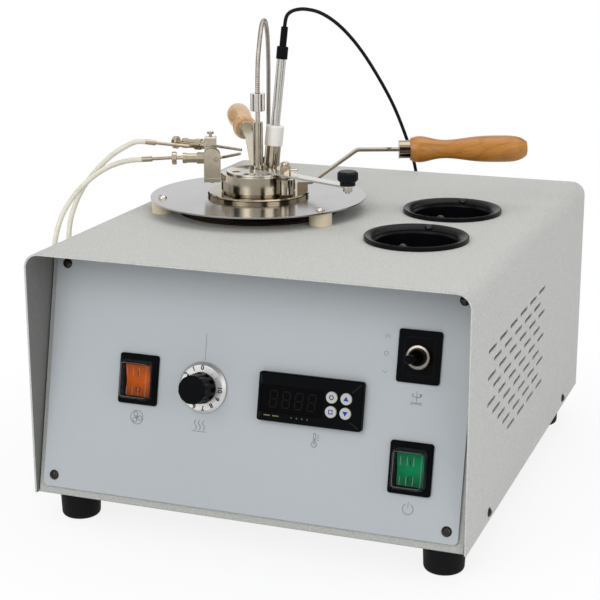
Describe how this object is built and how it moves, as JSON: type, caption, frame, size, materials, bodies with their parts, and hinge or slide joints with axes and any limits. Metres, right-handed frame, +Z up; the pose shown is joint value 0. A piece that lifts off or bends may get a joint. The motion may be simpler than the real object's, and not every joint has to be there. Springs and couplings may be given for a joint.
{
  "type": "closed cup flash point tester",
  "caption": "Bench closed-cup flash point tester: heated air bath with lidded test cup, stirrer, flame jet, probe, sloped control panel and spare cup wells.",
  "frame": {"origin": "on the bench under the middle of the case, level with the bottoms of the feet", "axes": "+Z up, -Y to the front panel, +X to the right as seen from the front"},
  "size_m": [0.3752, 0.4154, 0.3703],
  "materials": {
    "case_paint": "fine textured powder coat",
    "panel_sheet": "satin anodised sheet with bare places for labels",
    "tray_paint": "satin",
    "steel": "brushed stainless steel",
    "nickel": "polished nickel",
    "black_rubber": "matt",
    "black_plastic": "satin",
    "well_metal": "satin black",
    "ivory_plastic": "matt",
    "grey_plastic": "matt",
    "orange_plastic": "translucent, lit from inside",
    "green_plastic": "translucent, lit from inside",
    "clear_cap": "clear flexible cap",
    "dial_metal": "satin aluminium",
    "white_polymer": "waxy white",
    "tube_silicone": "milky silicone",
    "wood": "varnished beech",
    "cast_block": "cast",
    "insulation": "brown mineral board",
    "black_cable": "satin"
  },
  "bodies": {
    "case": {"hood": "case_paint", "base_tray": "tray_paint", "rear_panel": "case_paint", "case_screws": "nickel", "feet": "black_rubber", "front_panel": "panel_sheet", "switch_housings": "black_plastic", "switch_caps": "clear_cap", "toggle_plate": "black_plastic", "toggle_switch": "black_plastic", "regulator_body": "grey_plastic", "meter_case": "black_plastic", "shield_spacers": "ivory_plastic", "shield_plate": "steel", "shield_screws": "nickel", "cup_wells": "well_metal", "well_screws": "well_metal", "air_bath": "cast_block", "bath_insulation": "insulation", "bath_stand": "cast_block", "drive_socket": "black_plastic", "stirrer_motor": "cast_block", "cable_port": "black_plastic", "power_inlet": "black_plastic", "fan_frame": "black_plastic", "gas_inlets": "nickel"},
    "cup": {"cup": "nickel", "cup_handle_bar": "nickel", "cup_handle_grip": "wood"},
    "cover": {"cover": "nickel", "probe_bushing": "white_polymer", "cover_handle_bar": "nickel", "cover_handle_grip": "wood", "burner_block": "nickel", "gas_valves": "nickel", "rear_gas_tube": "tube_silicone", "front_gas_tube": "tube_silicone", "flexible_shaft": "steel"},
    "shutter": {"shutter_plate": "steel", "shutter_lever": "steel", "shutter_knob": "black_plastic", "lever_detent": "nickel"},
    "jet": {"flame_jet": "nickel"},
    "stirrer": {"stirrer": "steel", "drive_coupling": "nickel"},
    "probe": {"temperature_probe": "steel", "probe_boot": "black_plastic", "probe_cable": "black_cable"},
    "front_needle": {"front_needle": "nickel"},
    "rear_needle": {"rear_needle": "nickel"},
    "fan_rocker": {"fan_rocker": "orange_plastic"},
    "main_rocker": {"main_rocker": "green_plastic"},
    "toggle": {"toggle_lever": "black_plastic"},
    "regulator": {"regulator_knob": "black_plastic", "dial_ring": "dial_metal"},
    "button_1": {"meter_button_1": "grey_plastic"},
    "button_2": {"meter_button_2": "grey_plastic"},
    "button_3": {"meter_button_3": "grey_plastic"},
    "button_4": {"meter_button_4": "grey_plastic"},
    "fan": {"fan_rotor": "black_plastic"}
  },
  "joints": [
    {"name": "cup_lift", "type": "slide", "parent": "case", "child": "cup", "axis": [0, 0, 1], "range_m": [0, 0.075]},
    {"name": "cover_lift", "type": "slide", "parent": "cup", "child": "cover", "axis": [0, 0, 1], "range_m": [0, 0.06]},
    {"name": "shutter_turn", "type": "hinge", "parent": "cover", "child": "shutter", "pos_m": [-0.063, 0, 0.2428], "axis": [0, 0, -1], "range_deg": [0, 38], "stiffness_Nm_per_rad": 0.03, "springref_deg": -17.19},
    {"name": "jet_dip", "type": "hinge", "parent": "cover", "child": "jet", "pos_m": [-0.09449, -0.01171, 0.2523], "axis": [-0.3486, 0.9373, 0], "range_deg": [0, 46.53]},
    {"name": "stirrer_spin", "type": "hinge", "parent": "cover", "child": "stirrer", "pos_m": [-0.063, 0, 0.2414], "axis": [0, 0, 1], "continuous": true},
    {"name": "probe_pull", "type": "slide", "parent": "cover", "child": "probe", "axis": [0.0862, 0.056, 0.9947], "range_m": [0, 0.08]},
    {"name": "front_needle_turn", "type": "hinge", "parent": "cover", "child": "front_needle", "pos_m": [-0.10369, -0.01567, 0.2528], "axis": [-0.9373, -0.3486, 0], "range_deg": [0, 360]},
    {"name": "rear_needle_turn", "type": "hinge", "parent": "cover", "child": "rear_needle", "pos_m": [-0.10932, -0.00703, 0.2622], "axis": [-0.9968, 0.0802, 0], "range_deg": [0, 360]},
    {"name": "fan_rocker_tilt", "type": "hinge", "parent": "case", "child": "fan_rocker", "pos_m": [-0.08711, -0.17338, 0.11669], "axis": [-1, 0, 0], "range_deg": [0, 16]},
    {"name": "main_rocker_tilt", "type": "hinge", "parent": "case", "child": "main_rocker", "pos_m": [0.12331, -0.18186, 0.07842], "axis": [-1, 0, 0], "range_deg": [0, 16]},
    {"name": "toggle_tilt", "type": "hinge", "parent": "case", "child": "toggle", "pos_m": [0.12341, -0.17387, 0.15603], "axis": [1, 0, 0], "range_deg": [-12, 12]},
    {"name": "regulator_turn", "type": "hinge", "parent": "case", "child": "regulator", "pos_m": [-0.0359, -0.17739, 0.11707], "axis": [0, 0.9763, -0.2164], "range_deg": [0, 270]},
    {"name": "button_1_press", "type": "slide", "parent": "case", "child": "button_1", "axis": [0, 0.9763, -0.2164], "range_m": [0, 0.001], "stiffness_N_per_m": 400},
    {"name": "button_2_press", "type": "slide", "parent": "case", "child": "button_2", "axis": [0, 0.9763, -0.2164], "range_m": [0, 0.001], "stiffness_N_per_m": 400},
    {"name": "button_3_press", "type": "slide", "parent": "case", "child": "button_3", "axis": [0, 0.9763, -0.2164], "range_m": [0, 0.001], "stiffness_N_per_m": 400},
    {"name": "button_4_press", "type": "slide", "parent": "case", "child": "button_4", "axis": [0, 0.9763, -0.2164], "range_m": [0, 0.001], "stiffness_N_per_m": 400},
    {"name": "fan_spin", "type": "hinge", "parent": "case", "child": "fan", "pos_m": [0.06, 0.195, 0.135], "axis": [0, 1, 0], "continuous": true}
  ],
  "couplings": [
    {"joint": "jet_dip", "follows": "shutter_turn", "ratio": 1.2242}
  ]
}
